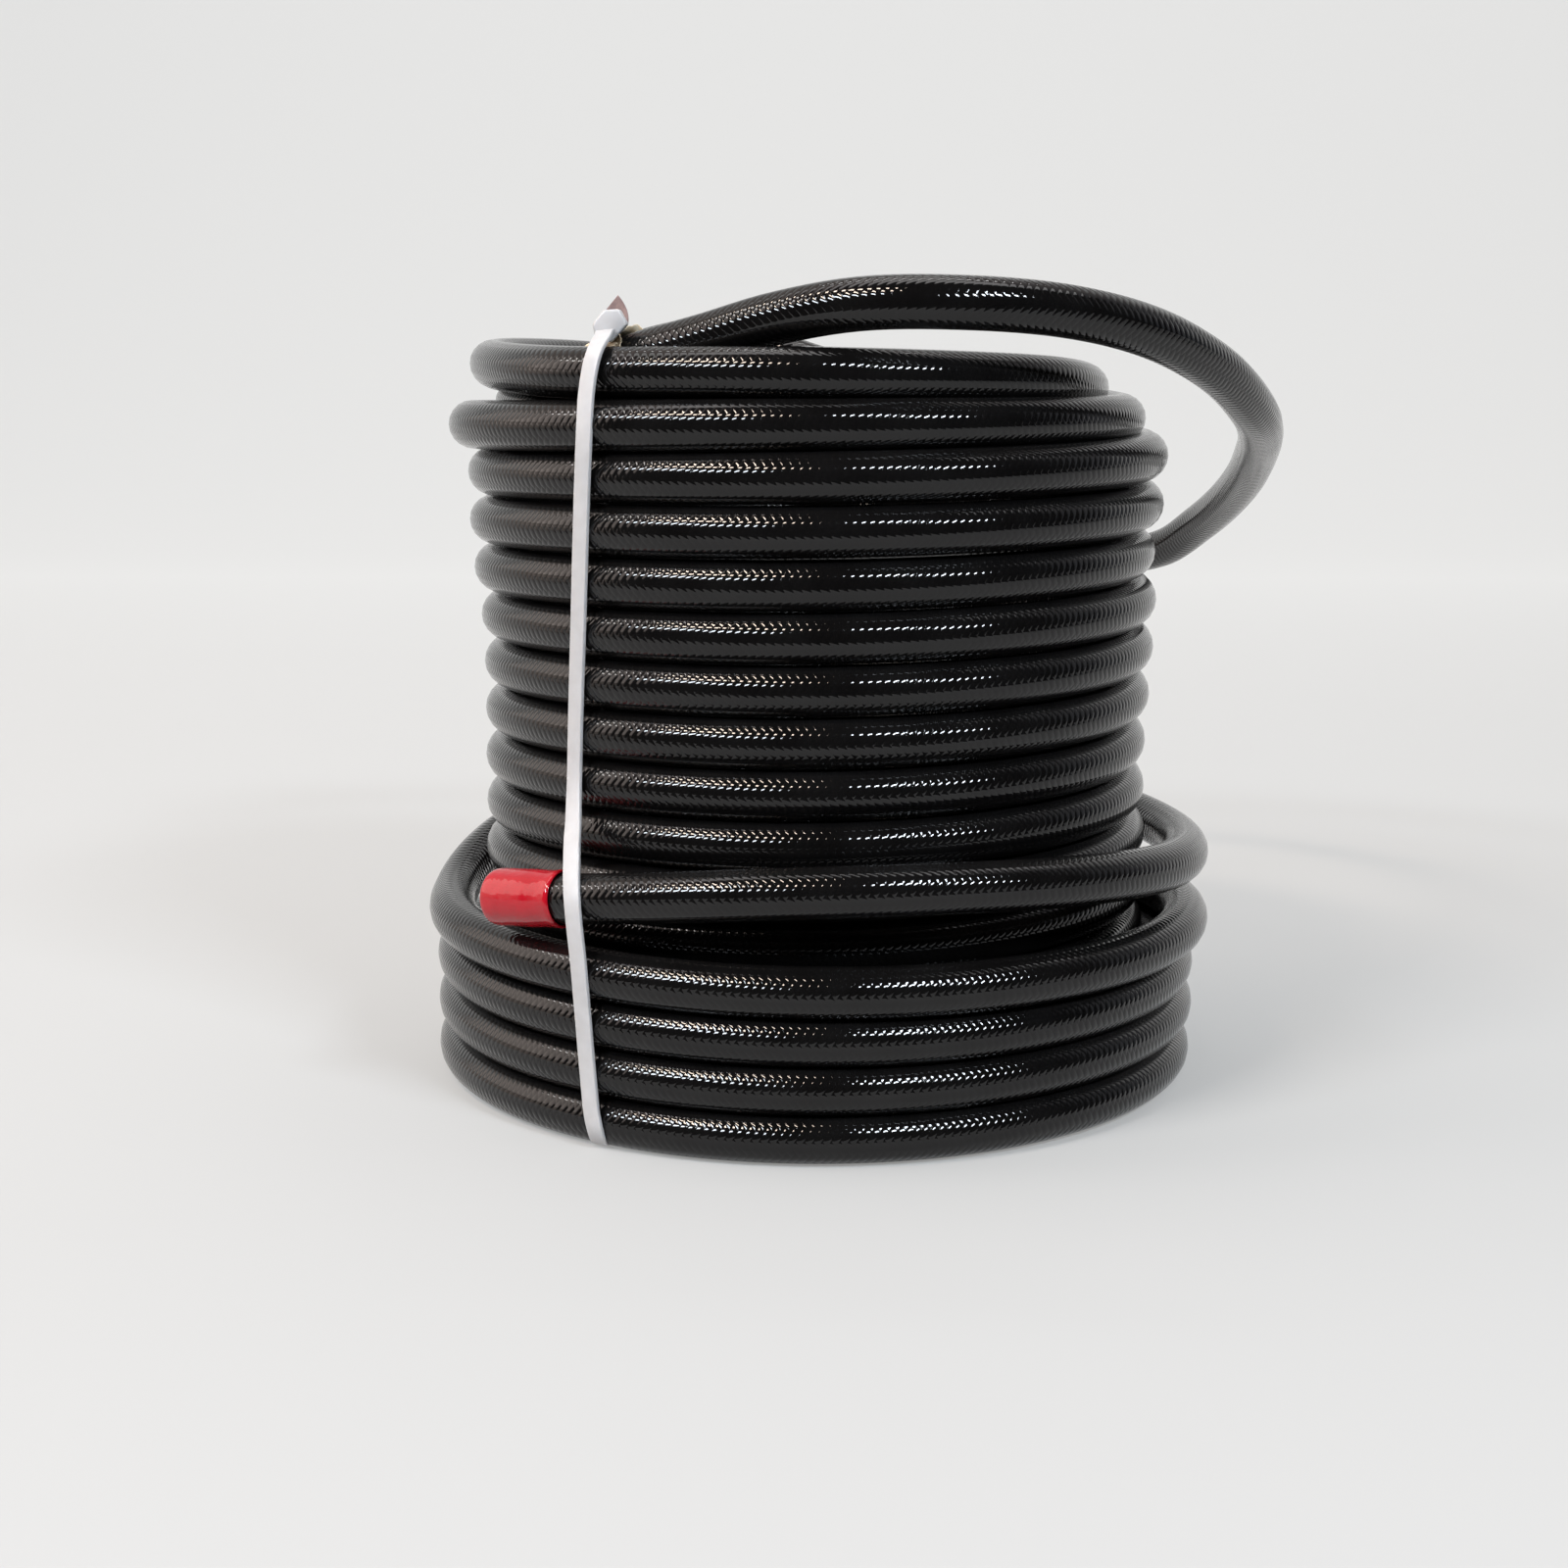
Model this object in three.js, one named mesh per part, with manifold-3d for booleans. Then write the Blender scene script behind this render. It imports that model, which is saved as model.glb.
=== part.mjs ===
// A coil of braided fuel hose, about 13 m long, as it is sold and stored. Millimetres, +Z up.
// The hose climbs from the floor as a tall column of touching turns, lies in a second, wider
// winding round the column's foot, and ends in one free loop over the top. One end wears a red
// vinyl sleeve and the other a wrap of masking tape. One nylon cable tie goes round the bundle.
// The hose is one length. It is split here where a winding meets a free stretch.

import * as THREE from "three";
import { mergeVertices } from "three/addons/utils/BufferGeometryUtils.js";
import Module from "manifold-3d";

// Hose
const HOSE_DIAMETER = 13.0;
const HOSE_BORE = 8.0;
const BORE_DEPTH = 14.0;
const HOSE_SIDES = 10;

// Gap that keeps neighbouring pieces apart
const GAP = 0.3;

// Column of turns, measured at the hose's centre
const COLUMN_RADIUS = 87.8;
const COLUMN_TURNS = 15;
const COLUMN_PITCH = 13.45;

// Wider winding round the column's foot
const OUTER_TURNS = 4;
const OUTER_PITCH = 12.95;

// Shape of the windings
const GROOVE_ANGLE = 60;
const TURN_FACETS = 3;
const FACETS_AROUND = 30;

// Red sleeve on the lower end
const SLEEVE_LENGTH = 22.0;
const SLEEVE_WALL = 0.6;

// Masking tape on the upper end
const TAPE_LENGTH = 17.0;
const TAPE_THICKNESS = 0.45;
const RING_SIDES = 20;

// Cable tie
const TIE_WIDTH = 4.6;
const TIE_THICKNESS = 1.2;
const TIE_ANGLE = 40;
const TIE_CLEARANCE = 0.8;
const TIE_CORNER = 3.6;
const TIE_HEAD_WIDTH = 7.9;
const TIE_HEAD_HEIGHT = 7.2;
const TIE_HEAD_DEPTH = 5.6;
const TIE_HEAD_SHIFT = 2.2;
const FLOOR_CLEARANCE = 0.1;

// Routes of the free stretches. Each point is an angle round the axis, and then how far it lies
// out from the winding and up from it, in hose diameters.

// The free loop leaves the column's top behind, turns back on itself, comes round the right
// side and over the front, and ends inside the column's mouth. Out and up are from the top turn.
const LOOP_POINTS = [
  [107.1, 1.10, 0.05],
  [117.4, 1.61, -0.18],
  [124.9, 2.67, -0.48],
  [128.2, 4.06, -0.91],
  [127.5, 5.56, -1.45],
  [124.0, 6.88, -2.10],
  [118.7, 7.89, -2.79],
  [112.6, 8.57, -3.45],
  [105.8, 9.07, -4.06],
  [98.5, 9.46, -4.64],
  [91.1, 9.75, -5.10],
  [83.2, 10.02, -5.41],
  [75.4, 10.30, -5.54],
  [68.0, 10.47, -5.48],
  [61.1, 10.29, -5.29],
  [55.1, 9.66, -4.95],
  [48.9, 8.57, -4.14],
  [41.6, 7.14, -3.37],
  [33.6, 5.75, -2.68],
  [23.5, 4.44, -2.00],
  [11.0, 3.32, -1.43],
  [-2.4, 2.52, -0.87],
  [-17.9, 1.74, -0.06],
  [-34.5, 1.18, 0.63],
  [-50.8, 0.79, 1.03],
  [-67.4, 0.45, 1.18],
  [-82.6, -0.20, 1.17],
  [-97.5, -0.90, 0.91],
  [-112.8, -1.20, 0.55],
  [-130.0, -1.18, 0.22],
  [-146.6, -1.09, 0.03],
];
const LOOP_STEPS = 38;

// The turn with the sleeve starts on top of the wider winding at the left, and goes round behind,
// the right and the front. Out and up are from a turn that lies on the wider winding.
const TAIL_POINTS = [
  [176, 0.13, 0.04],
  [158, 0.13, 0.04],
  [132, 0.15, 0.08],
  [106, 0.18, 0.16],
  [80, 0.21, 0.26],
  [54, 0.24, 0.30],
  [28, 0.26, 0.27],
  [2, 0.26, 0.22],
  [-24, 0.25, 0.40],
  [-50, 0.22, 0.69],
  [-76, 0.19, 0.87],
  [-98, 0.16, 0.79],
  [-114, 0.15, 0.58],
  [-127.5, 0.19, 0.35],
  [-139.5, 0.45, 0.16],
];
const TAIL_STEPS = 21;

const hoseRadius = HOSE_DIAMETER / 2;
const outerRadius = COLUMN_RADIUS + HOSE_DIAMETER + GAP;
const boreRadius = (COLUMN_RADIUS - hoseRadius) * Math.cos(Math.PI / FACETS_AROUND);
const columnTop = hoseRadius + (COLUMN_TURNS - 1) * COLUMN_PITCH;
const outerTop = hoseRadius + OUTER_TURNS * OUTER_PITCH;
const degrees = Math.PI / 180;

const wasm = await Module();
wasm.setup();

// Solids

function solidOf(geometry) {
  const bare = geometry.clone();
  bare.deleteAttribute("normal");
  bare.deleteAttribute("uv");
  const merged = mergeVertices(bare, 1e-4);
  const mesh = new wasm.Mesh({
    numProp: 3,
    vertProperties: new Float32Array(merged.attributes.position.array),
    triVerts: new Uint32Array(merged.index.array),
  });
  return new wasm.Manifold(mesh);
}

function geometryOf(solid) {
  const mesh = solid.getMesh();
  const geometry = new THREE.BufferGeometry();
  geometry.setAttribute("position", new THREE.BufferAttribute(new Float32Array(mesh.vertProperties), 3));
  geometry.setIndex(new THREE.BufferAttribute(new Uint32Array(mesh.triVerts), 1));
  const flat = geometry.toNonIndexed();
  flat.computeVertexNormals();
  return flat;
}

function regularOutline(sides, radius) {
  const corners = [];
  for (let corner = 0; corner < sides; corner += 1) {
    const angle = (corner * 2 * Math.PI) / sides;
    corners.push(new THREE.Vector2(radius * Math.cos(angle), radius * Math.sin(angle)));
  }
  return corners;
}

// A coil's section: one scalloped wall whose turns bulge on both sides. Its facets touch the
// hose's circle, and the lowest turn is flat where it rests.
function windingProfile(radius, turns, pitch) {
  const facetAngle = (2 * GROOVE_ANGLE) / TURN_FACETS;
  const cornerRadius = hoseRadius / Math.cos((facetAngle / 2) * degrees);
  const footHalfWidth = hoseRadius * Math.tan((facetAngle / 2) * degrees);
  const points = [new THREE.Vector2(radius + footHalfWidth, 0)];
  for (let turn = 0; turn < turns; turn += 1) {
    for (let facet = 0; facet <= TURN_FACETS; facet += 1) {
      const angle = (facet * facetAngle - GROOVE_ANGLE) * degrees;
      const height = hoseRadius + turn * pitch + cornerRadius * Math.sin(angle);
      points.push(new THREE.Vector2(radius + cornerRadius * Math.cos(angle), height));
    }
  }
  const top = hoseRadius + (turns - 1) * pitch + hoseRadius;
  points.push(new THREE.Vector2(radius + footHalfWidth, top));
  const inside = points.map((point) => new THREE.Vector2(2 * radius - point.x, point.y));
  inside.reverse();
  return [...points, ...inside, points[0].clone()];
}

function winding(radius, turns, pitch) {
  const geometry = new THREE.LatheGeometry(windingProfile(radius, turns, pitch), FACETS_AROUND);
  geometry.rotateX(Math.PI / 2);
  return geometry;
}

// A smooth line through a route's points.
function routeFrom(points, fromRadius, fromHeight) {
  const places = points.map(([angle, out, up]) => {
    const radius = fromRadius + out * HOSE_DIAMETER;
    const height = fromHeight + up * HOSE_DIAMETER;
    return new THREE.Vector3(
      radius * Math.cos(angle * degrees), radius * Math.sin(angle * degrees), height);
  });
  return new THREE.CatmullRomCurve3(places, false, "centripetal");
}

function hoseAlong(route, steps) {
  const outline = new THREE.Shape(regularOutline(HOSE_SIDES, hoseRadius));
  return new THREE.ExtrudeGeometry(outline, { steps, bevelEnabled: false, extrudePath: route });
}

// The place and direction of the route's last straight step.
function lastStep(route, steps) {
  const [before, end] = route.getSpacedPoints(steps).slice(-2);
  const direction = end.clone().sub(before).normalize();
  return { end, direction };
}

function boreAt({ end, direction }) {
  const bore = new THREE.CylinderGeometry(HOSE_BORE / 2, HOSE_BORE / 2, 2 * BORE_DEPTH, HOSE_SIDES);
  const turn = new THREE.Quaternion().setFromUnitVectors(new THREE.Vector3(0, 1, 0), direction);
  bore.applyQuaternion(turn);
  bore.translate(end.x, end.y, end.z);
  return bore;
}

// A thin ring round the last stretch of the hose, flush with its cut end.
function ringOn({ end, direction }, length, wall) {
  const holeRadius = (hoseRadius + GAP) / Math.cos(Math.PI / RING_SIDES);
  const outline = new THREE.Shape(regularOutline(RING_SIDES, holeRadius + wall));
  outline.holes.push(new THREE.Path(regularOutline(RING_SIDES, holeRadius)));
  const ring = new THREE.ExtrudeGeometry(outline, { depth: length, bevelEnabled: false });
  const turn = new THREE.Quaternion().setFromUnitVectors(new THREE.Vector3(0, 0, 1), direction);
  ring.applyQuaternion(turn);
  const start = end.clone().addScaledVector(direction, -length);
  ring.translate(start.x, start.y, start.z);
  return ring;
}

// Cable tie: a loop in an upright plane beside the axis, so it crosses the windings on a slant.
// The plane meets the column's centreline at an angle left of the front. The tie's broad faces
// are leaned over to lie flat on the windings.

const tieOffset = COLUMN_RADIUS * Math.sin(TIE_ANGLE * degrees);
const tieLean = tieOffset / Math.sqrt((COLUMN_RADIUS + hoseRadius) ** 2 - tieOffset ** 2);
const tieRun = TIE_WIDTH * Math.cos(Math.atan(tieLean));
const tieHalfBand = TIE_CLEARANCE + TIE_THICKNESS / 2;

// Depth of a circle round the axis, where the tie's plane cuts it
function depthOf(radius) {
  return Math.sqrt(radius ** 2 - tieOffset ** 2);
}

function tieRoute(loopEnd, tail) {
  const onColumn = depthOf(COLUMN_RADIUS);
  const out = depthOf(COLUMN_RADIUS + hoseRadius + tieHalfBand);
  const skirt = depthOf(outerRadius + hoseRadius + tieHalfBand);
  const bore = depthOf(boreRadius - tieHalfBand - GAP);
  const under = FLOOR_CLEARANCE + TIE_THICKNESS / 2;
  const over = columnTop + hoseRadius + tieHalfBand;
  const stretch = Math.sqrt(1 + tieLean ** 2);
  const wrap = hoseRadius + GAP + TAPE_THICKNESS + tieHalfBand;
  const reach = wrap * stretch;
  const tailOut = tail.depth + (hoseRadius + tieHalfBand) * stretch;
  return [
    [onColumn + 0.75 * (out - onColumn), over - 0.3 * hoseRadius],
    [out, columnTop],
    [out, tail.height + 1.5 * HOSE_DIAMETER],
    [tail.depth + 0.4 * HOSE_DIAMETER, tail.height + hoseRadius + 2 * tieHalfBand],
    [tailOut, tail.height + 0.5 * hoseRadius],
    [tailOut, tail.height - 0.75 * hoseRadius],
    [skirt, tail.height - HOSE_DIAMETER],
    [skirt, hoseRadius],
    [skirt - 0.3 * TIE_CORNER, under + 0.4 * TIE_CORNER],
    [skirt - TIE_CORNER, under],
    [bore + TIE_CORNER, under],
    [bore + 0.3 * TIE_CORNER, under + 0.4 * TIE_CORNER],
    [bore, hoseRadius],
    [bore, columnTop - 1.25 * HOSE_DIAMETER],
    [loopEnd.depth - 0.55 * reach, loopEnd.height - 1.12 * wrap],
    [loopEnd.depth - 1.03 * reach, loopEnd.height - 0.45 * wrap],
    [loopEnd.depth - 1.03 * reach, loopEnd.height + 0.45 * wrap],
    [loopEnd.depth - 0.55 * reach, loopEnd.height + 1.1 * wrap],
    [loopEnd.depth + 0.6 * reach, loopEnd.height + 1.1 * wrap],
    [onColumn, over],
  ];
}

// A closed band of even thickness along a closed line of corners that runs clockwise.
function bandOutline(clockwise, thickness) {
  const corners = [...clockwise].reverse();
  const offsetBy = (distance) => corners.map(([x, y], index) => {
    const [beforeX, beforeY] = corners[(index + corners.length - 1) % corners.length];
    const [afterX, afterY] = corners[(index + 1) % corners.length];
    const along = new THREE.Vector2(x - beforeX, y - beforeY).normalize();
    const onward = new THREE.Vector2(afterX - x, afterY - y).normalize();
    const normal = new THREE.Vector2(along.y + onward.y, -along.x - onward.x).normalize();
    const mitre = distance / (normal.x * along.y - normal.y * along.x);
    return new THREE.Vector2(x + normal.x * mitre, y + normal.y * mitre);
  });
  const outline = new THREE.Shape(offsetBy(thickness / 2));
  outline.holes.push(new THREE.Path(offsetBy(-thickness / 2)));
  return outline;
}

// Turns a shape drawn with depth and height, and extruded sideways, into the tie's leaning plane.
function leanIntoPlace(geometry) {
  const place = new THREE.Matrix4().set(
    0, 0, -1, -tieOffset,
    -1, 0, tieLean, 0,
    0, 1, 0, 0,
    0, 0, 0, 1,
  );
  geometry.applyMatrix4(place);
  return geometry;
}

function tieSlab(depthFrom, depthTo, heightFrom, heightTo, width, shift) {
  const slab = new THREE.BoxGeometry(depthTo - depthFrom, heightTo - heightFrom, width);
  slab.translate((depthFrom + depthTo) / 2, (heightFrom + heightTo) / 2, shift);
  return leanIntoPlace(slab);
}

// Where a route crosses the tie's plane
function crossing(route, steps) {
  const points = route.getSpacedPoints(steps);
  for (let index = points.length - 1; index > 0; index -= 1) {
    const [a, b] = [points[index - 1], points[index]];
    const inFront = (a.y + b.y) / 2 < 0;
    if (inFront && (a.x + tieOffset) * (b.x + tieOffset) <= 0) {
      const share = (-tieOffset - a.x) / (b.x - a.x);
      const point = a.clone().lerp(b, share);
      return { depth: -point.y, height: point.z };
    }
  }
  return { depth: -points[points.length - 1].y, height: points[points.length - 1].z };
}

// Parts

const loopRoute = routeFrom(LOOP_POINTS, COLUMN_RADIUS, columnTop);
const tailRoute = routeFrom(TAIL_POINTS, outerRadius, outerTop);
const loopEnd = lastStep(loopRoute, LOOP_STEPS);
const tailEnd = lastStep(tailRoute, TAIL_STEPS);

const loopCrossing = crossing(loopRoute, LOOP_STEPS);
const tailCrossing = crossing(tailRoute, TAIL_STEPS);

const channelTop = FLOOR_CLEARANCE + TIE_THICKNESS + GAP;
const channelWidth = tieRun + 4 * GAP;
const tieChannel = tieSlab(
  depthOf(COLUMN_RADIUS - HOSE_DIAMETER), depthOf(outerRadius + HOSE_DIAMETER),
  -HOSE_DIAMETER, channelTop, channelWidth, 0);

function columnSolid() {
  const turns = solidOf(winding(COLUMN_RADIUS, COLUMN_TURNS, COLUMN_PITCH));
  return geometryOf(turns.subtract(solidOf(tieChannel)));
}

function outerSolid() {
  const turns = solidOf(winding(outerRadius, OUTER_TURNS, OUTER_PITCH));
  return geometryOf(turns.subtract(solidOf(tieChannel)));
}

function openEnded(route, steps, cut) {
  return geometryOf(solidOf(hoseAlong(route, steps)).subtract(solidOf(boreAt(cut))));
}

function tieSolid() {
  const strap = new THREE.ExtrudeGeometry(
    bandOutline(tieRoute(loopCrossing, tailCrossing), TIE_THICKNESS),
    { depth: tieRun, bevelEnabled: false });
  strap.translate(0, 0, -tieRun / 2);
  leanIntoPlace(strap);
  const headDepth = depthOf(COLUMN_RADIUS) - hoseRadius;
  const headFoot = columnTop + hoseRadius + TIE_CLEARANCE;
  const head = tieSlab(
    headDepth - TIE_HEAD_DEPTH / 2, headDepth + TIE_HEAD_DEPTH / 2,
    headFoot, headFoot + TIE_HEAD_HEIGHT,
    TIE_HEAD_WIDTH * Math.cos(Math.atan(tieLean)), -TIE_HEAD_SHIFT);
  return geometryOf(solidOf(strap).add(solidOf(head)));
}

const PARTS = [
  ["hose_inner_coil", columnSolid(), 0x0d0d0e, 0.25],
  ["hose_outer_coil", outerSolid(), 0x0d0d0e, 0.25],
  ["hose_top_loop", openEnded(loopRoute, LOOP_STEPS, loopEnd), 0x0d0d0e, 0.25],
  ["hose_capped_tail", openEnded(tailRoute, TAIL_STEPS, tailEnd), 0x0d0d0e, 0.25],
  ["red_end_sleeve", ringOn(tailEnd, SLEEVE_LENGTH, SLEEVE_WALL), 0xb1121b, 0.3],
  ["end_tape", ringOn(loopEnd, TAPE_LENGTH, TAPE_THICKNESS), 0xc9ab7c, 0.8],
  ["cable_tie", tieSolid(), 0xdcdcd6, 0.45],
];

const coil = new THREE.Group();
for (const [name, geometry, color, roughness] of PARTS) {
  const material = new THREE.MeshStandardMaterial({ color, roughness, metalness: 0 });
  const mesh = new THREE.Mesh(geometry, material);
  mesh.name = name;
  coil.add(mesh);
}

// The origin is below the middle of the whole coil, on the surface that it stands on.
const box = new THREE.Box3().setFromObject(coil, true);
const middle = box.getCenter(new THREE.Vector3());
coil.position.set(-middle.x, -middle.y, -box.min.z);

const part = new THREE.Group();
part.add(coil);

export default part;
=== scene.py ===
"""A coil of braided fuel hose, tied with one nylon cable tie.

The hose is one length: a tall column of turns, a wider winding round its foot and a free loop
over the top. Everything is in metres, in the frame that the part's solids share.
"""

import math

import bmesh
import bpy
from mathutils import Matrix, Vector


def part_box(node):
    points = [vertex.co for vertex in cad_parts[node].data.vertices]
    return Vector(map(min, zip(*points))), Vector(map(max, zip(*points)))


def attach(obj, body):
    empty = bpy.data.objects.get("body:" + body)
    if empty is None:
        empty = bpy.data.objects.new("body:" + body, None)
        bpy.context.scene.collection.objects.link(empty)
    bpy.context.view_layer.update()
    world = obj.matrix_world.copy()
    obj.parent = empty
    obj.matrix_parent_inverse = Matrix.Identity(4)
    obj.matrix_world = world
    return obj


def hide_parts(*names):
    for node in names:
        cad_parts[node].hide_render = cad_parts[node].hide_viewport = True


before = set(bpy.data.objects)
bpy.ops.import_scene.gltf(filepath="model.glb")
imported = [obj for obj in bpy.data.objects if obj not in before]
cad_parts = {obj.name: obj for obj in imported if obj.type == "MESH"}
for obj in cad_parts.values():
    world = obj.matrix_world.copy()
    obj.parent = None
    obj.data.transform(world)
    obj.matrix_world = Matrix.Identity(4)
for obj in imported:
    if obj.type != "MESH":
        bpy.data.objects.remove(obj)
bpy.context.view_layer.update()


# Camera
# The photograph is taken from the front, level with the column's top, from two thirds of a metre
# away, looking a little down. Every place below is measured from the axis of the column.

SENSOR_WIDTH = 36.0
LENS = 54.43
CAMERA_PLACE = (0.0, -0.6648, 0.1985)
CAMERA_TILT = 79.68
CAMERA_TURN = 0.76

column_low, column_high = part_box("hose_inner_coil")
axis = Vector(((column_low.x + column_high.x) / 2, (column_low.y + column_high.y) / 2, 0.0))


def placed(name, data):
    """An object at the origin for a mesh, a curve, a light or a camera."""
    item = bpy.data.objects.new(name, data)
    bpy.context.scene.collection.objects.link(item)
    return item


camera_data = bpy.data.cameras.new("camera")
camera_data.sensor_width = SENSOR_WIDTH
camera_data.lens = LENS
camera = placed("camera", camera_data)
camera.location = axis + Vector(CAMERA_PLACE)
camera.rotation_euler = (math.radians(CAMERA_TILT), 0.0, math.radians(CAMERA_TURN))
bpy.context.scene.camera = camera


# Hose
# One length of fuel hose: a rubber liner, a braid of fine steel wire round it and a thin glossy
# black jacket that takes the braid's shape. The turns lie against each other by the hose's own
# spring, and the cable tie alone holds them.

HOSE_DIAMETER = 0.013
HOSE_BORE = 0.008
POINT_SPACING = 0.004
STEPS_BETWEEN = 24

# The braid: strands that run each way, the length in which one goes once round, and its relief
BRAID_CARRIERS = 12
BRAID_LAY = 0.0248
BRAID_DEPTH = 0.00011

# Angles count up along the hose, in degrees, and 270 and every full turn past it is the front.
# The column's turns climb evenly to the top one's front, and lean a little.
COLUMN_RISE = 0.01305
COLUMN_TILT = 0.0008625
COLUMN_TOP = 0.1949
COLUMN_TOP_ANGLE = 6750
COLUMN_ANGLES = range(1545, 6165, 45)

# The column's radius at an angle
COLUMN_RADII = [
    (1530, 0.0868), (1620, 0.0866), (3240, 0.0866), (3420, 0.0862), (3600, 0.0861),
    (3780, 0.0862), (3960, 0.0861), (4140, 0.0860), (4320, 0.0869), (4500, 0.0860),
    (4680, 0.0877), (4860, 0.0866), (5040, 0.0882), (5220, 0.0883), (5400, 0.0875),
    (5580, 0.0892), (5760, 0.0895), (5940, 0.0894), (6120, 0.0903),
]

# From the red end down to the foot of the column: an angle, a radius and a height
LOWER_ROUTE = [
    (-139.5, 0.1070, 0.0604), (-127.5, 0.1036, 0.0628), (-114, 0.1030, 0.0658),
    (-98, 0.1032, 0.0686), (-76, 0.1036, 0.0696), (-50, 0.1040, 0.0673),
    (-24, 0.1044, 0.0635), (2, 0.1045, 0.0612), (28, 0.1045, 0.0618), (54, 0.1042, 0.0622),
    (80, 0.1038, 0.0617), (106, 0.1034, 0.0604), (132, 0.1030, 0.0592), (150, 0.1030, 0.0565),
    (165, 0.1030, 0.0515), (180, 0.1030, 0.0465), (225, 0.1030, 0.0450), (270, 0.1028, 0.0442),
    (315, 0.1040, 0.0437), (360, 0.1048, 0.0428), (405, 0.1034, 0.0402), (450, 0.1020, 0.0366),
    (495, 0.1013, 0.0338), (540, 0.1009, 0.0324), (630, 0.1013, 0.0316), (720, 0.1009, 0.0304),
    (765, 0.1010, 0.0282), (810, 0.1010, 0.0248), (855, 0.1010, 0.0213), (900, 0.1009, 0.0194),
    (990, 0.1010, 0.0190), (1080, 0.1010, 0.0185), (1125, 0.1010, 0.0163), (1170, 0.1010, 0.0122),
    (1215, 0.1010, 0.0080), (1245, 0.1010, 0.0065), (1350, 0.1010, 0.0065), (1425, 0.1008, 0.0065),
    (1445, 0.0990, 0.0065), (1470, 0.0945, 0.0065), (1500, 0.0890, 0.0065),
]

# The column's two top turns, and the stretch that goes once round inside them, wedged between
# them at the left, and climbs out over the back
UPPER_ROUTE = [
    (6210, 0.0890, 0.1747), (6255, 0.0915, 0.1770), (6300, 0.0945, 0.1790), (6345, 0.0920, 0.1803),
    (6390, 0.0885, 0.1813), (6435, 0.0855, 0.1812), (6480, 0.0839, 0.1811), (6525, 0.0852, 0.1838),
    (6570, 0.0875, 0.1872), (6583, 0.0878, 0.1880), (6595, 0.0880, 0.1898), (6605, 0.0883, 0.1924),
    (6617, 0.0890, 0.1950), (6640, 0.0892, 0.1961), (6660, 0.0892, 0.1955), (6705, 0.0880, 0.1936),
    (6750, 0.0862, 0.1934), (6795, 0.0803, 0.1914), (6840, 0.0738, 0.1885), (6870, 0.0736, 0.1885),
    (6900, 0.0736, 0.1878), (6930, 0.0740, 0.1865), (6960, 0.0755, 0.1855), (6990, 0.0790, 0.1850),
    (7020, 0.0820, 0.1850), (7050, 0.0786, 0.1838), (7080, 0.0745, 0.1830), (7110, 0.0730, 0.1825),
    (7155, 0.0700, 0.1800), (7200, 0.0660, 0.1780), (7230, 0.0610, 0.1820), (7260, 0.0595, 0.1880),
    (7277, 0.0606, 0.1905), (7290, 0.0635, 0.1942), (7301, 0.0705, 0.1986), (7309, 0.0795, 0.2018),
    (7315, 0.0880, 0.2024), (7320, 0.0970, 0.2005),
]

# Between these angles the windings have a point at every step
EVEN_ANGLES = (180, 6570, 15)

# The free loop, from the column's back to the taped end
LOOP_ROUTE = [
    (-0.0600, 0.0925, 0.1970), (-0.0730, 0.1010, 0.1912), (-0.0878, 0.1120, 0.1840),
    (-0.0980, 0.1275, 0.1760), (-0.1010, 0.1475, 0.1675), (-0.0950, 0.1675, 0.1585),
    (-0.0795, 0.1850, 0.1500), (-0.0570, 0.1990, 0.1420), (-0.0310, 0.2085, 0.1345),
    (-0.0040, 0.2145, 0.1285), (0.0260, 0.2165, 0.1245), (0.0560, 0.2145, 0.1228),
    (0.0840, 0.2075, 0.1235), (0.1070, 0.1940, 0.1260), (0.1220, 0.1750, 0.1305),
    (0.1310, 0.1500, 0.1410), (0.1350, 0.1200, 0.1510), (0.1354, 0.0900, 0.1600),
    (0.1328, 0.0580, 0.1688), (0.1277, 0.0250, 0.1762), (0.1196, -0.0050, 0.1835),
    (0.1050, -0.0340, 0.1940), (0.0850, -0.0585, 0.2030), (0.0620, -0.0760, 0.2082),
    (0.0360, -0.0865, 0.2102), (0.0110, -0.0845, 0.2100), (-0.0100, -0.0755, 0.2066),
    (-0.0280, -0.0670, 0.2015), (-0.0440, -0.0582, 0.1974), (-0.0560, -0.0505, 0.1943),
]


def eased(keys, at):
    """The value at a place on a smooth line through the keys."""
    after = next((i for i, key in enumerate(keys) if key[0] >= at), len(keys) - 1)
    after = max(after, 1)
    (a0, v0), (a1, v1) = keys[after - 1], keys[after]
    before_a, before_v = keys[max(after - 2, 0)]
    beyond_a, beyond_v = keys[min(after + 1, len(keys) - 1)]
    slope0 = (v1 - before_v) / (a1 - before_a)
    slope1 = (beyond_v - v0) / (beyond_a - a0)
    span = a1 - a0
    t = (at - a0) / span
    return (
        (1 + 2 * t) * (1 - t) ** 2 * v0 + t * (1 - t) ** 2 * span * slope0
        + t * t * (3 - 2 * t) * v1 - t * t * (1 - t) * span * slope1
    )


def round_axis(angle, radius, height):
    """A place at an angle, a radius and a height round the column's axis."""
    turned = math.radians(angle)
    return axis + Vector((radius * math.cos(turned), radius * math.sin(turned), height))


def column_height(angle):
    """The height of the hose's middle at an angle on the column."""
    fall = COLUMN_RISE * (COLUMN_TOP_ANGLE - angle) / 360
    return COLUMN_TOP - fall - COLUMN_TILT * math.cos(math.radians(angle))


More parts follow.
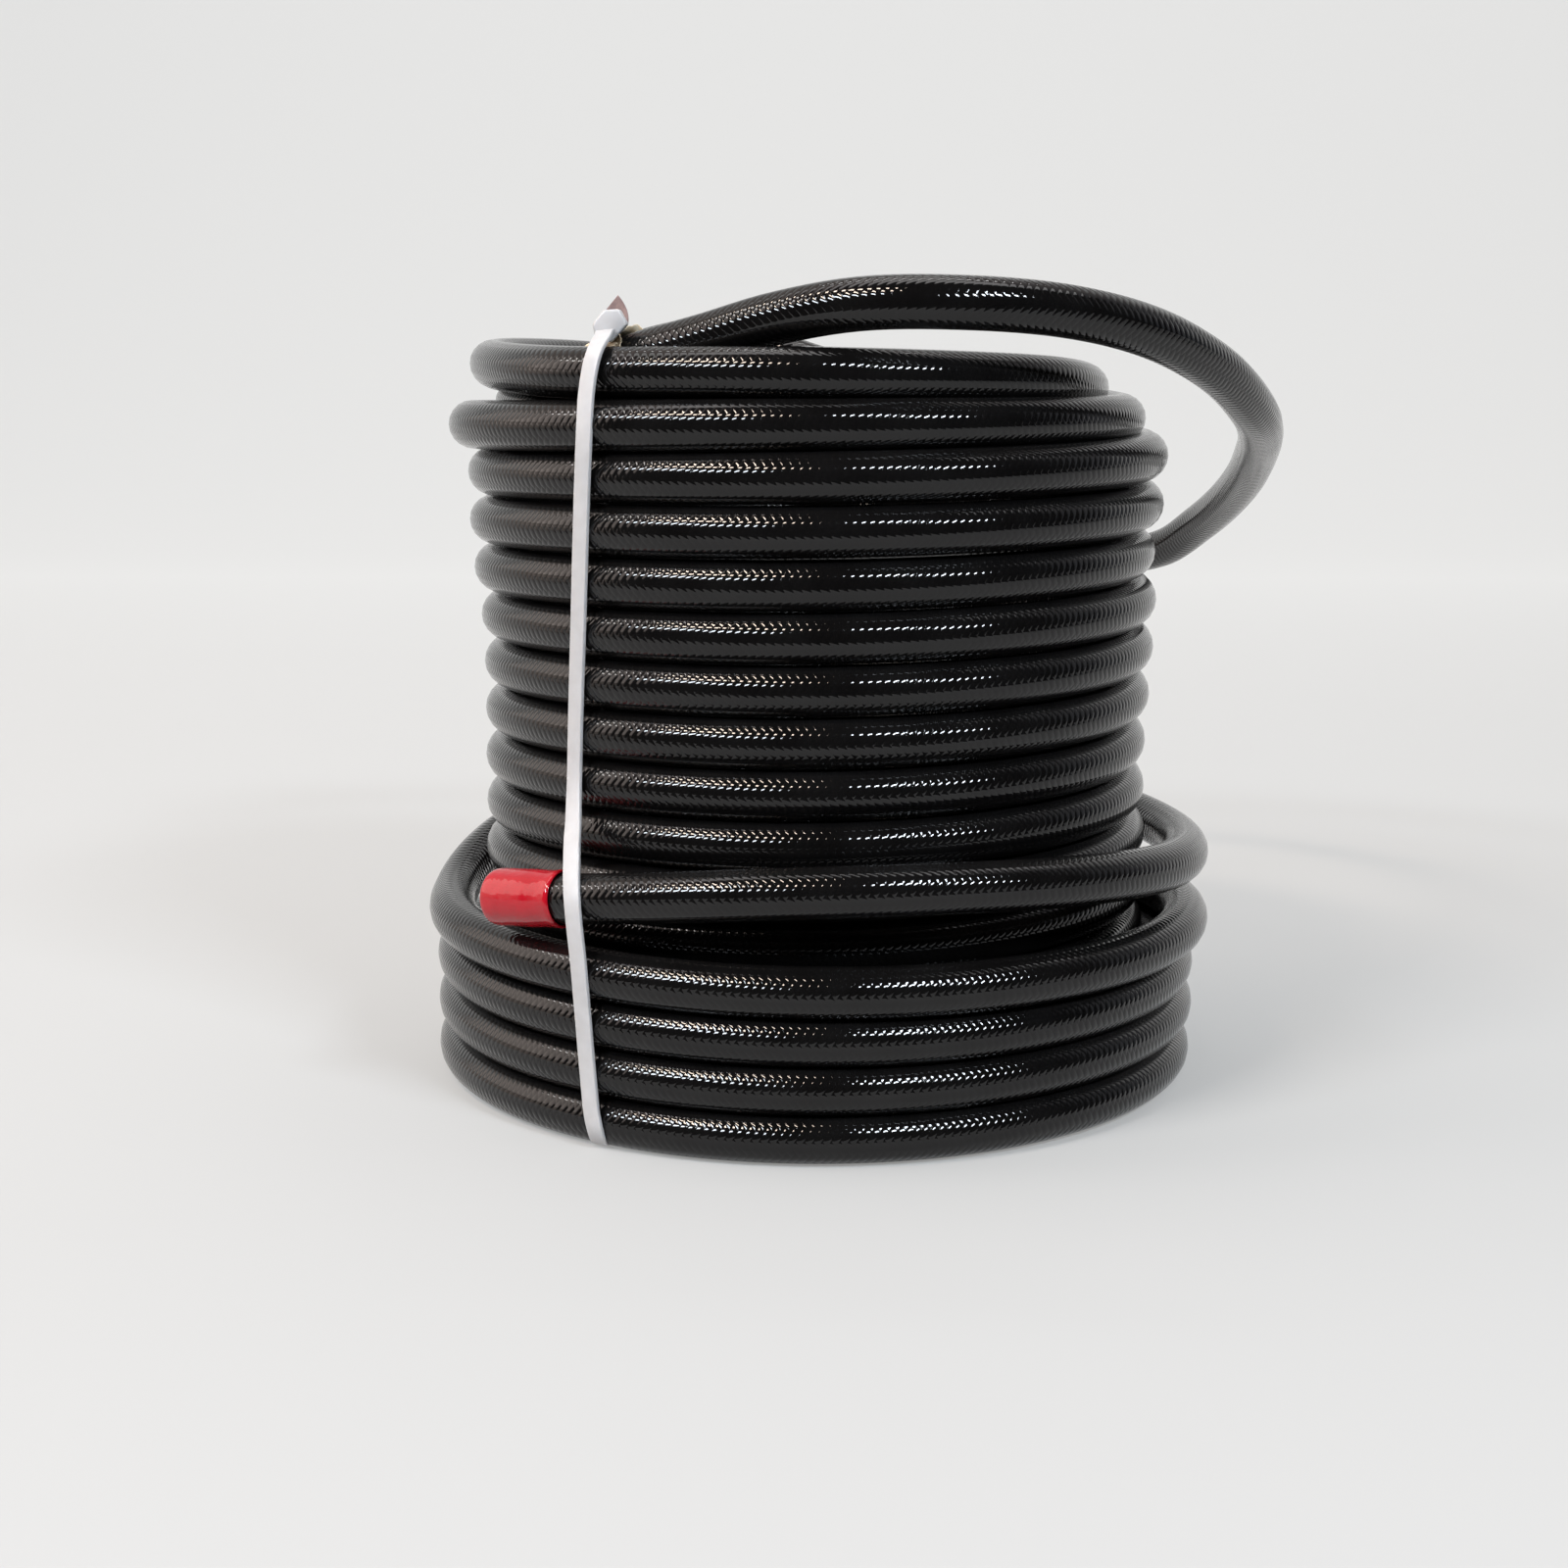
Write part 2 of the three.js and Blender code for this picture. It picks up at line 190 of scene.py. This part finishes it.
def winding_points():
    """Points along the windings, from the red end to where the loop leaves the column's back."""
    column = [(a, eased(COLUMN_RADII, a), column_height(a)) for a in COLUMN_ANGLES]
    keys = LOWER_ROUTE + column + UPPER_ROUTE
    radii = [(a, r) for a, r, z in keys]
    heights = [(a, z) for a, r, z in keys]
    first, last, step = EVEN_ANGLES
    angles = [a for a, r, z in LOWER_ROUTE if a < first]
    angles += range(first, last, step)
    angles += [a for a, r, z in UPPER_ROUTE if a >= last]
    return [round_axis(a, eased(radii, a), eased(heights, a)) for a in angles]


def even_points(corners, spacing):
    """Points evenly spaced along a smooth line through the corners."""
    ends = [2 * corners[0] - corners[1], *corners, 2 * corners[-1] - corners[-2]]
    fine = []
    for p0, p1, p2, p3 in zip(ends, ends[1:], ends[2:], ends[3:]):
        d1, d2, d3 = ((b - a).length ** 0.5 for a, b in ((p0, p1), (p1, p2), (p2, p3)))
        m1 = (p1 - p0) / d1 - (p2 - p0) / (d1 + d2) + (p2 - p1) / d2
        m2 = (p2 - p1) / d2 - (p3 - p1) / (d2 + d3) + (p3 - p2) / d3
        m1, m2 = m1 * d2, m2 * d2
        for step in range(STEPS_BETWEEN):
            t = step / STEPS_BETWEEN
            fine.append(
                (2 * t ** 3 - 3 * t ** 2 + 1) * p1 + (t ** 3 - 2 * t ** 2 + t) * m1
                + (3 * t ** 2 - 2 * t ** 3) * p2 + (t ** 3 - t ** 2) * m2
            )
    fine.append(corners[-1].copy())
    along = [0.0]
    for a, b in zip(fine, fine[1:]):
        along.append(along[-1] + (b - a).length)
    count = round(along[-1] / spacing)
    spaced, at = [], 0
    for index in range(count + 1):
        want = along[-1] * index / count
        while at < len(fine) - 2 and along[at + 1] < want:
            at += 1
        share = (want - along[at]) / (along[at + 1] - along[at])
        spaced.append(fine[at].lerp(fine[at + 1], share))
    return spaced, along[-1]


corners = winding_points() + [axis + Vector(point) for point in LOOP_ROUTE]
hose_points, hose_length = even_points(corners, POINT_SPACING)

hose_curve = bpy.data.curves.new("braided_hose", "CURVE")
hose_curve.dimensions = "3D"
hose_curve.twist_mode = "Z_UP"
hose_curve.bevel_depth = HOSE_DIAMETER / 2
hose_curve.bevel_resolution = 8
hose_curve.use_fill_caps = False
line = hose_curve.splines.new("POLY")
line.points.add(len(hose_points) - 1)
for point, place in zip(line.points, hose_points):
    point.co = (*place, 1.0)
hose = placed("braided_hose", hose_curve)


def calculate(tree, operation, first, second=0.0, third=0.0):
    """A math node, from values or other nodes' outputs."""
    node = tree.nodes.new("ShaderNodeMath")
    node.operation = operation
    for socket, value in zip(node.inputs, (first, second, third)):
        if isinstance(value, bpy.types.NodeSocket):
            tree.links.new(value, socket)
        else:
            socket.default_value = value
    return node.outputs[0]


def speckled_material(name, colour, other, scale, roughness, metallic=0.0):
    """A finish whose colour drifts between two near ones in small uneven patches."""
    material = bpy.data.materials.new(name)
    material.use_nodes = True
    tree = material.node_tree
    sockets = tree.nodes["Principled BSDF"].inputs
    sockets["Roughness"].default_value = roughness
    sockets["Metallic"].default_value = metallic
    place = tree.nodes.new("ShaderNodeTexCoord")
    noise = tree.nodes.new("ShaderNodeTexNoise")
    noise.inputs["Scale"].default_value = scale
    noise.inputs["Detail"].default_value = 4.0
    ramp = tree.nodes.new("ShaderNodeValToRGB")
    ramp.color_ramp.elements[0].position = 0.35
    ramp.color_ramp.elements[0].color = (*colour, 1.0)
    ramp.color_ramp.elements[1].position = 0.65
    ramp.color_ramp.elements[1].color = (*other, 1.0)
    tree.links.new(place.outputs["Object"], noise.inputs["Vector"])
    tree.links.new(noise.outputs["Fac"], ramp.inputs["Fac"])
    tree.links.new(ramp.outputs["Color"], sockets["Base Color"])
    return material


def add_relief(tree, height, depth):
    """Raises the surface by a height between zero and one, at the given full depth."""
    relief = tree.nodes.new("ShaderNodeBump")
    relief.inputs["Strength"].default_value = 1.0
    relief.inputs["Distance"].default_value = depth
    tree.links.new(height, relief.inputs["Height"])
    tree.links.new(relief.outputs["Normal"], tree.nodes["Principled BSDF"].inputs["Normal"])


jacket = speckled_material(
    "hose_jacket", (0.0034, 0.0031, 0.0031), (0.0050, 0.0047, 0.0047), 90.0, 0.07,
)
tree = jacket.node_tree
tree.nodes["Principled BSDF"].inputs["IOR"].default_value = 1.42

# The braid is worked out on the hose's own map, along it and round it. Two families of bands
# cross, one rising and one falling, and each strand passes over two and under two.
uv = tree.nodes.new("ShaderNodeUVMap")
uv.uv_map = "UVMap"
split = tree.nodes.new("ShaderNodeSeparateXYZ")
tree.links.new(uv.outputs["UV"], split.inputs["Vector"])
lays = calculate(tree, "MULTIPLY", split.outputs["X"], BRAID_CARRIERS * hose_length / BRAID_LAY)
around = calculate(tree, "MULTIPLY", split.outputs["Y"], BRAID_CARRIERS)
rising = calculate(tree, "ADD", around, lays)
falling = calculate(tree, "SUBTRACT", around, lays)
rising_band = calculate(tree, "FLOOR", rising)
falling_band = calculate(tree, "FLOOR", falling)
rising_part = calculate(tree, "FRACT", rising)
falling_part = calculate(tree, "FRACT", falling)
turn = calculate(tree, "FLOORED_MODULO", calculate(tree, "ADD", rising_band, falling_band), 4.0)
is_rising = calculate(tree, "LESS_THAN", turn, 1.5)


def choose(first, second):
    """The first value where the rising strand is on top, and the second where the falling one is."""
    difference = calculate(tree, "SUBTRACT", first, second)
    return calculate(tree, "MULTIPLY_ADD", difference, is_rising, second)


across = choose(rising_part, falling_part)
half_turn = calculate(tree, "FLOORED_MODULO", turn, 2.0)
length_part = choose(falling_part, rising_part)
along_strand = calculate(tree, "MULTIPLY", calculate(tree, "ADD", half_turn, length_part), 0.5)


def bulge(value):
    """One in the middle of a span from zero to one, and zero at its ends."""
    left = calculate(tree, "SUBTRACT", 1.0, value)
    return calculate(tree, "MULTIPLY", calculate(tree, "MULTIPLY", value, left), 4.0)


add_relief(tree, calculate(tree, "MULTIPLY", bulge(across), bulge(along_strand)), BRAID_DEPTH)
hose_curve.materials.append(jacket)

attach(hose, "root")
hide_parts("hose_inner_coil", "hose_outer_coil", "hose_top_loop", "hose_capped_tail")


# Cut ends of the hose
# Both ends are sawn square. Each shows the thin black jacket, the steel braid, the rubber liner
# and the open bore.

BORE_DEPTH = 0.014
BORE_CLOSING = 0.00001
LINER_RADIUS = 0.00550
BRAID_RADIUS = 0.00595
END_PROFILE = [
    (HOSE_DIAMETER / 2, 0.0), (BRAID_RADIUS, 0.0), (LINER_RADIUS, 0.0), (0.00415, 0.0),
    (HOSE_BORE / 2, 0.00015), (HOSE_BORE / 2, BORE_DEPTH / 2), (HOSE_BORE / 2, BORE_DEPTH),
    (BORE_CLOSING, BORE_DEPTH),
]


def smooth_mesh(name, shape):
    """A smoothly shaded mesh of a finished shape, with its faces turned outward."""
    bmesh.ops.recalc_face_normals(shape, faces=shape.faces)
    mesh = bpy.data.meshes.new(name)
    shape.to_mesh(mesh)
    shape.free()
    for face in mesh.polygons:
        face.use_smooth = True
    return mesh


def turned(name, profile, steps):
    """A mesh turned round the upright axis from a line of radii and heights."""
    shape = bmesh.new()
    corners = [shape.verts.new((radius, 0.0, height)) for radius, height in profile]
    edges = [shape.edges.new(pair) for pair in zip(corners, corners[1:])]
    bmesh.ops.spin(
        shape, geom=corners + edges, cent=(0, 0, 0), axis=(0, 0, 1),
        angle=2 * math.pi, steps=steps, use_merge=True,
    )
    bmesh.ops.remove_doubles(shape, verts=shape.verts, dist=1e-6)
    return smooth_mesh(name, shape)


def beside_hose(points, place):
    """A place given to the side, upward and back from the hose's end, with the hose's bend."""
    step = (points[1] - points[0]).length
    at = max(place.z / step, 0.0)
    index = int(at)
    share = at - index
    middle = points[index].lerp(points[index + 1], share)
    ways = [(points[i + 1] - points[max(i - 1, 0)]).normalized() for i in (index, index + 1)]
    back = ways[0].lerp(ways[1], share).normalized()
    side = back.cross(Vector((0.0, 0.0, 1.0))).normalized()
    above = side.cross(back)
    return middle + side * place.x + above * place.y + back * (place.z - at * step)


cut_jacket = speckled_material(
    "cut_jacket", (0.012, 0.011, 0.011), (0.016, 0.015, 0.015), 1200.0, 0.45,
)
cut_braid = speckled_material(
    "cut_braid", (0.10, 0.10, 0.10), (0.55, 0.54, 0.52), 4000.0, 0.4, metallic=1.0,
)
cut_liner = speckled_material(
    "cut_liner", (0.014, 0.013, 0.013), (0.026, 0.025, 0.024), 900.0, 0.6,
)

for name, points in (("cut_end_red", hose_points), ("cut_end_taped", hose_points[::-1])):
    mesh = turned(name, END_PROFILE, 40)
    for material in (cut_jacket, cut_braid, cut_liner):
        mesh.materials.append(material)
    for face in mesh.polygons:
        face.use_smooth = False
        reach = face.center.xy.length
        face.material_index = 0 if reach > BRAID_RADIUS else 1 if reach > LINER_RADIUS else 2
    for vertex in mesh.vertices:
        vertex.co = beside_hose(points, vertex.co)
    end_face = placed(name, mesh)
    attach(end_face, "root")


# Red sleeve
# A short length of glossy red vinyl, shrunk over the lower end of the hose. Its skin is a little
# uneven, and its inner edge stands up in a soft lip.

VINYL_RELIEF = 0.00012
SLEEVE_PROFILE = [
    (0.00656, 0.0215), (0.00662, 0.0222), (0.00690, 0.0225), (0.00722, 0.0224), (0.00742, 0.0219),
    (0.00744, 0.0212), (0.00736, 0.0204), (0.00728, 0.0195), (0.00726, 0.0184), (0.00727, 0.0172),
    (0.00730, 0.0160), (0.00736, 0.0148), (0.00742, 0.0136), (0.00745, 0.0122), (0.00745, 0.0108),
    (0.00744, 0.0094), (0.00743, 0.0080), (0.00743, 0.0066), (0.00744, 0.0052), (0.00745, 0.0038),
    (0.00744, 0.0025), (0.00741, 0.0014), (0.00734, 0.0006), (0.00720, 0.0001), (0.00700, -0.0002),
    (0.00676, -0.0001), (0.00658, 0.0003), (0.00656, 0.0010), (0.00656, 0.0110), (0.00656, 0.0215),
]

sleeve_mesh = turned("red_sleeve", SLEEVE_PROFILE, 96)
for vertex in sleeve_mesh.vertices:
    vertex.co = beside_hose(hose_points, vertex.co)
sleeve = placed("red_sleeve", sleeve_mesh)

red_vinyl = speckled_material(
    "red_vinyl", (0.34, 0.0045, 0.012), (0.38, 0.0055, 0.014), 250.0, 0.08,
)
tree = red_vinyl.node_tree
tree.nodes["Principled BSDF"].inputs["IOR"].default_value = 1.52
place = tree.nodes.new("ShaderNodeTexCoord")
noise = tree.nodes.new("ShaderNodeTexNoise")
noise.inputs["Scale"].default_value = 420.0
noise.inputs["Detail"].default_value = 2.0
tree.links.new(place.outputs["Object"], noise.inputs["Vector"])
add_relief(tree, noise.outputs["Fac"], VINYL_RELIEF)
sleeve_mesh.materials.append(red_vinyl)
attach(sleeve, "root")
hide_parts("red_end_sleeve")


# Masking tape
# A wrap of cream masking tape keeps the upper end from fraying. Its inner edge has lifted and
# creased, and its loose corner stands up behind the cable tie's head.

TAPE_THICKNESS = 0.00022
LIFT_START = 0.0085
LIFT_LENGTH = 0.0049
CREASE_DEPTH = 0.045
EDGE_WAVE = 0.0009
TAPE_PROFILE = [
    (0.00668, 0.0002), (0.00669, 0.0018), (0.00671, 0.0036), (0.00672, 0.0052), (0.00674, 0.0068),
    (0.00678, 0.0082), (0.00684, 0.0094), (0.00694, 0.0105), (0.00712, 0.0115), (0.00738, 0.0122),
    (0.00770, 0.0127), (0.00804, 0.0131), (0.00836, 0.0134),
]


def thickened(piece, thickness):
    """Gives a sheet its thickness, half of it on each side."""
    wall = piece.modifiers.new("thickness", "SOLIDIFY")
    wall.thickness = thickness
    wall.offset = 0.0


taped_end = hose_points[::-1]
tape_mesh = turned("end_tape_wrap", TAPE_PROFILE, 120)
# A few broad creases and some finer ones, which grow from nothing to the lifted edge
for vertex in tape_mesh.vertices:
    turn_angle = math.atan2(vertex.co.y, vertex.co.x)
    lifted = max(vertex.co.z - LIFT_START, 0.0) / LIFT_LENGTH
    crease = math.sin(7 * turn_angle + 1.0) + 0.6 * math.sin(17 * turn_angle + 80 * vertex.co.z)
    vertex.co.xy *= 1.0 + CREASE_DEPTH * crease * lifted ** 2
    vertex.co.z += EDGE_WAVE * lifted * math.sin(3 * turn_angle + 0.6)
    vertex.co = beside_hose(taped_end, vertex.co)
tape = placed("end_tape_wrap", tape_mesh)
thickened(tape, TAPE_THICKNESS)

paper = speckled_material(
    "masking_tape", (0.58, 0.43, 0.26), (0.74, 0.64, 0.48), 700.0, 0.75,
)
tape_mesh.materials.append(paper)
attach(tape, "root")
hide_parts("end_tape")

# The loose corner, a bowed triangle from a foot on the tape to its tip
CORNER_LEFT = Vector((-0.0552, -0.0548, 0.2066))
CORNER_RIGHT = Vector((-0.0474, -0.0572, 0.2052))
CORNER_TIP = Vector((-0.0500, -0.0552, 0.2127))
CORNER_TAPER = 0.97
CORNER_BOW = 0.0010
CORNER_CURL = 0.0012
TIP_LEAN = 0.0006

flap_shape = bmesh.new()
bmesh.ops.create_grid(flap_shape, x_segments=12, y_segments=12, size=0.5)
for vertex in flap_shape.verts:
    across, up = vertex.co.x + 0.5, vertex.co.y + 0.5
    narrow = 1.0 - CORNER_TAPER * up
    centred = across * narrow + (1.0 - narrow) * 0.5
    foot = CORNER_LEFT.lerp(CORNER_RIGHT, across)
    spread = foot.lerp(CORNER_TIP, up)
    spread.x += CORNER_BOW * across * up * (1.0 - up) * 4
    spread.y += CORNER_CURL * math.sin(math.pi * centred) * (1.0 - up) + TIP_LEAN * up * up
    vertex.co = axis + spread
bmesh.ops.remove_doubles(flap_shape, verts=flap_shape.verts, dist=1e-6)
flap_mesh = smooth_mesh("end_tape_corner", flap_shape)
flap = placed("end_tape_corner", flap_mesh)
thickened(flap, TAPE_THICKNESS)
# The corner is the same cream tape; its dark mauve-brown colour is painted shade, the tape darkened
# as if in shadow
painted_shade_paper = speckled_material(
    "masking_tape_corner_painted_shade", (0.17, 0.11, 0.105), (0.25, 0.165, 0.15), 900.0, 0.7,
)
flap_mesh.materials.append(painted_shade_paper)
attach(flap, "root")


# Cable tie
# One natural nylon tie round the whole bundle: down the outside of every turn, under the coil
# and up inside the bore, over the taped end and into its small head on top, seen on the slant.

STRAP_WIDTH = 0.0046
STRAP_THICKNESS = 0.0012
STRAP_SPACING = 0.0015
STRAP_EDGE = 0.00022
STRAP_ROUTE = [
    (-0.0524, -0.0625, 0.2036), (-0.0525, -0.0662, 0.2034), (-0.0527, -0.0698, 0.2022),
    (-0.0531, -0.0730, 0.2012), (-0.0535, -0.0754, 0.2001), (-0.0540, -0.0768, 0.1988),
    (-0.0546, -0.0776, 0.1968), (-0.0553, -0.0780, 0.1937),
    (-0.0561, -0.0788, 0.1880), (-0.0564, -0.0796, 0.1830), (-0.0567, -0.0800, 0.1772),
    (-0.0575, -0.0783, 0.1651), (-0.0582, -0.0767, 0.1530), (-0.0589, -0.0749, 0.1407),
    (-0.0596, -0.0731, 0.1281), (-0.0603, -0.0717, 0.1155), (-0.0609, -0.0708, 0.1029),
    (-0.0612, -0.0710, 0.0930), (-0.0613, -0.0728, 0.0868), (-0.0612, -0.0764, 0.0811),
    (-0.0611, -0.0809, 0.0770), (-0.0608, -0.0853, 0.0729), (-0.0605, -0.0894, 0.0689),
    (-0.0601, -0.0923, 0.0645), (-0.0597, -0.0932, 0.0597), (-0.0588, -0.0932, 0.0497),
    (-0.0580, -0.0923, 0.0368), (-0.0572, -0.0918, 0.0239), (-0.0565, -0.0922, 0.0149),
    (-0.0561, -0.0925, 0.0103), (-0.0553, -0.0929, 0.0060), (-0.0547, -0.0918, 0.0030),
    (-0.0542, -0.0890, 0.0011), (-0.0540, -0.0850, 0.0006), (-0.0545, -0.0740, 0.0006),
    (-0.0552, -0.0640, 0.0006), (-0.0558, -0.0600, 0.0010), (-0.0562, -0.0573, 0.0030),
    (-0.0564, -0.0565, 0.0065), (-0.0568, -0.0560, 0.0300), (-0.0572, -0.0556, 0.0900),
    (-0.0572, -0.0552, 0.1500), (-0.0560, -0.0525, 0.1640), (-0.0520, -0.0485, 0.1745),
    (-0.0495, -0.0460, 0.1835), (-0.0480, -0.0448, 0.1910), (-0.0480, -0.0455, 0.1970),
    (-0.0490, -0.0480, 0.2015), (-0.0502, -0.0512, 0.2040), (-0.0511, -0.0545, 0.2047),
    (-0.0516, -0.0585, 0.2048), (-0.0517, -0.0620, 0.2048),
]
HEAD_CENTRE = Vector((-0.0516, -0.0620, 0.2049))
HEAD_DEPTH = 0.0056
HEAD_EDGE = 0.0006
HEAD_OUTLINE = [
    (-0.0041, 0.0005), (-0.0013, 0.0040), (0.0027, 0.0042), (0.0047, 0.0005), (0.0005, -0.0040),
    (-0.0035, -0.0030),
]

strap_points = even_points([axis + Vector(p) for p in STRAP_ROUTE], STRAP_SPACING)[0]
strap_shape = bmesh.new()
edge = None
for index, point in enumerate(strap_points):
    before = strap_points[max(index - 1, 0)]
    beyond = strap_points[min(index + 1, len(strap_points) - 1)]
    along = (beyond - before).normalized()
    outward = (point - axis) * Vector((1.0, 1.0, 0.0))
    flat = Vector((-outward.y, outward.x, 0.0)).normalized()
    width = (flat - along * along.dot(flat)).normalized() * STRAP_WIDTH / 2
    if edge is None:
        edge = strap_shape.edges.new([strap_shape.verts.new(point + w) for w in (-width, width)])
        continue
    grown = bmesh.ops.extrude_edge_only(strap_shape, edges=[edge])["geom"]
    edge = next(e for e in grown if isinstance(e, bmesh.types.BMEdge))
    ends = sorted(edge.verts, key=lambda v: (v.co - before).dot(width))
    ends[0].co, ends[1].co = point - width, point + width
strap = placed("cable_tie_strap", smooth_mesh("cable_tie_strap", strap_shape))
thickened(strap, STRAP_THICKNESS)
strap_edges = strap.modifiers.new("edges", "BEVEL")
strap_edges.width = STRAP_EDGE
strap_edges.segments = 2
strap_edges.angle_limit = math.radians(50)

head_shape = bmesh.new()
front = [
    head_shape.verts.new(axis + HEAD_CENTRE + Vector((x, -HEAD_DEPTH / 2, z)))
    for x, z in HEAD_OUTLINE
]
face = head_shape.faces.new(front)
grown = bmesh.ops.extrude_face_region(head_shape, geom=[face])["geom"]
bmesh.ops.translate(
    head_shape, vec=(0.0, HEAD_DEPTH, 0.0),
    verts=[part for part in grown if isinstance(part, bmesh.types.BMVert)],
)
bmesh.ops.recalc_face_normals(head_shape, faces=head_shape.faces)
bmesh.ops.bevel(
    head_shape, geom=head_shape.edges, offset=HEAD_EDGE, offset_type="OFFSET", segments=3,
    profile=0.5, affect="EDGES", material=-1,
)
head = placed("cable_tie_head", smooth_mesh("cable_tie_head", head_shape))

nylon = speckled_material(
    "tie_nylon", (0.465, 0.455, 0.46), (0.495, 0.485, 0.49), 300.0, 0.42,
)
nylon_surface = nylon.node_tree.nodes["Principled BSDF"]
nylon_surface.inputs["Subsurface Weight"].default_value = 0.35
nylon_surface.inputs["Subsurface Radius"].default_value = (1.0, 0.9, 0.8)
nylon_surface.inputs["Subsurface Scale"].default_value = 0.0012
for piece in (strap, head):
    piece.data.materials.append(nylon)
    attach(piece, "root")
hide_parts("cable_tie")


# Floor and backdrop
# A pale studio sweep under and behind the coil. It glows faintly, more towards the back, so that
# it stays as even as the photograph's plain ground.

SWEEP_FRONT = -0.52
SWEEP_BACK = 1.6
SWEEP_RADIUS = 0.9
SWEEP_HEIGHT = 3.2
SWEEP_WIDTH = 8.0
SWEEP_STEPS = 16

sweep_shape = bmesh.new()
sweep_line = [(SWEEP_FRONT, 0.0), (SWEEP_BACK, 0.0)]
for step in range(1, SWEEP_STEPS + 1):
    bend = math.radians(90 * step / SWEEP_STEPS)
    sweep_line.append(
        (SWEEP_BACK + SWEEP_RADIUS * math.sin(bend), SWEEP_RADIUS * (1 - math.cos(bend)))
    )
sweep_line.append((SWEEP_BACK + SWEEP_RADIUS, SWEEP_HEIGHT))
corners = [sweep_shape.verts.new(axis + Vector((-SWEEP_WIDTH / 2, y, z))) for y, z in sweep_line]
edges = [sweep_shape.edges.new(pair) for pair in zip(corners, corners[1:])]
grown = bmesh.ops.extrude_edge_only(sweep_shape, edges=edges)["geom"]
bmesh.ops.translate(
    sweep_shape, vec=(SWEEP_WIDTH, 0.0, 0.0),
    verts=[part for part in grown if isinstance(part, bmesh.types.BMVert)],
)
floor = placed("floor", smooth_mesh("floor", sweep_shape))

pale = bpy.data.materials.new("pale_floor")
pale.use_nodes = True
tree = pale.node_tree
pale_surface = tree.nodes["Principled BSDF"]
pale_surface.inputs["Base Color"].default_value = (0.28, 0.28, 0.278, 1.0)
pale_surface.inputs["Roughness"].default_value = 0.9
pale_surface.inputs["Specular IOR Level"].default_value = 0.1
pale_surface.inputs["Emission Color"].default_value = (1.0, 1.0, 0.99, 1.0)
place = tree.nodes.new("ShaderNodeTexCoord")
parts = tree.nodes.new("ShaderNodeSeparateXYZ")
glow = tree.nodes.new("ShaderNodeMapRange")
glow.inputs["From Min"].default_value = -0.2
glow.inputs["From Max"].default_value = 1.4
glow.inputs["To Min"].default_value = 0.27
glow.inputs["To Max"].default_value = 0.56
tree.links.new(place.outputs["Object"], parts.inputs["Vector"])
tree.links.new(parts.outputs["Y"], glow.inputs["Value"])
tree.links.new(glow.outputs["Result"], pale_surface.inputs["Emission Strength"])
floor.data.materials.append(pale)


# Light
# Long soft panels stand before the coil at both sides, a pale wall and a window at its left, a
# narrow light above it, and a broad panel that lights the backdrop. The room behind the camera
# is dark, and what the hose mirrors of the studio is warmer at the left.

COIL_AIM = (0.0, 0.0, 0.1)

world = bpy.data.worlds.new("studio")
world.use_nodes = True
tree = world.node_tree
background = tree.nodes["Background"]
direction = tree.nodes.new("ShaderNodeTexCoord")
parts = tree.nodes.new("ShaderNodeSeparateXYZ")
tree.links.new(direction.outputs["Generated"], parts.inputs["Vector"])
lean = calculate(tree, "MULTIPLY_ADD", parts.outputs["X"], -0.2, parts.outputs["Y"])
spread = tree.nodes.new("ShaderNodeMapRange")
spread.interpolation_type = "SMOOTHSTEP"
spread.inputs["From Min"].default_value = -0.16
spread.inputs["From Max"].default_value = 0.08
spread.inputs["To Min"].default_value = 0.01
spread.inputs["To Max"].default_value = 1.0
tree.links.new(lean, spread.inputs["Value"])
tree.links.new(spread.outputs["Result"], background.inputs["Strength"])
tint = tree.nodes.new("ShaderNodeValToRGB")
tint.color_ramp.elements[0].color = (1.0, 0.85, 0.76, 1.0)
tint.color_ramp.elements[1].color = (0.22, 0.235, 0.26, 1.0)
side = calculate(tree, "MULTIPLY_ADD", parts.outputs["X"], 0.5, 0.5)
tree.links.new(side, tint.inputs["Fac"])
tree.links.new(tint.outputs["Color"], background.inputs["Color"])
bpy.context.scene.world = world
bpy.context.scene.view_settings.view_transform = "Standard"


def soft_panel(name, place, size, power, colour, aim=COIL_AIM):
    """A rectangle of soft light at a place, turned to face the aim."""
    light = bpy.data.lights.new(name, "AREA")
    light.shape = "RECTANGLE"
    light.size, light.size_y = size
    light.energy = power
    light.color = colour
    panel = placed(name, light)
    panel.location = axis + Vector(place)
    ahead = axis + Vector(aim) - panel.location
    panel.rotation_euler = ahead.to_track_quat("-Z", "Y").to_euler()


COOL = (0.86, 0.93, 1.0)
WARM = (1.0, 0.84, 0.70)
BLUE = (0.84, 0.92, 1.0)
WALL = (1.0, 0.88, 0.82)
CREAM = (1.0, 0.95, 0.92)
WHITE = (1.0, 1.0, 1.0)
BACKDROP_AIM = (0.0, 2.4, 0.9)

soft_panel("left_panel_cool", (-0.86, -0.92, 0.95), (0.60, 0.16), 15.0, COOL)
soft_panel("left_panel_warm", (-0.62, -0.70, 1.25), (0.50, 0.12), 9.5, WARM)
soft_panel("right_panel", (0.66, -0.95, 0.95), (0.40, 0.16), 16.0, BLUE)
soft_panel("left_wall", (-1.5, 0.1, 0.8), (1.3, 0.9), 5.0, WALL)
soft_panel("left_window", (-0.92, -0.12, 0.95), (0.26, 0.10), 1.2, CREAM)
soft_panel("line_light", (0.0, 0.55, 1.45), (0.75, 0.05), 1.5, WHITE)
soft_panel("back_panel", (0.0, 0.3, 2.4), (3.0, 1.5), 34.0, WHITE, BACKDROP_AIM)
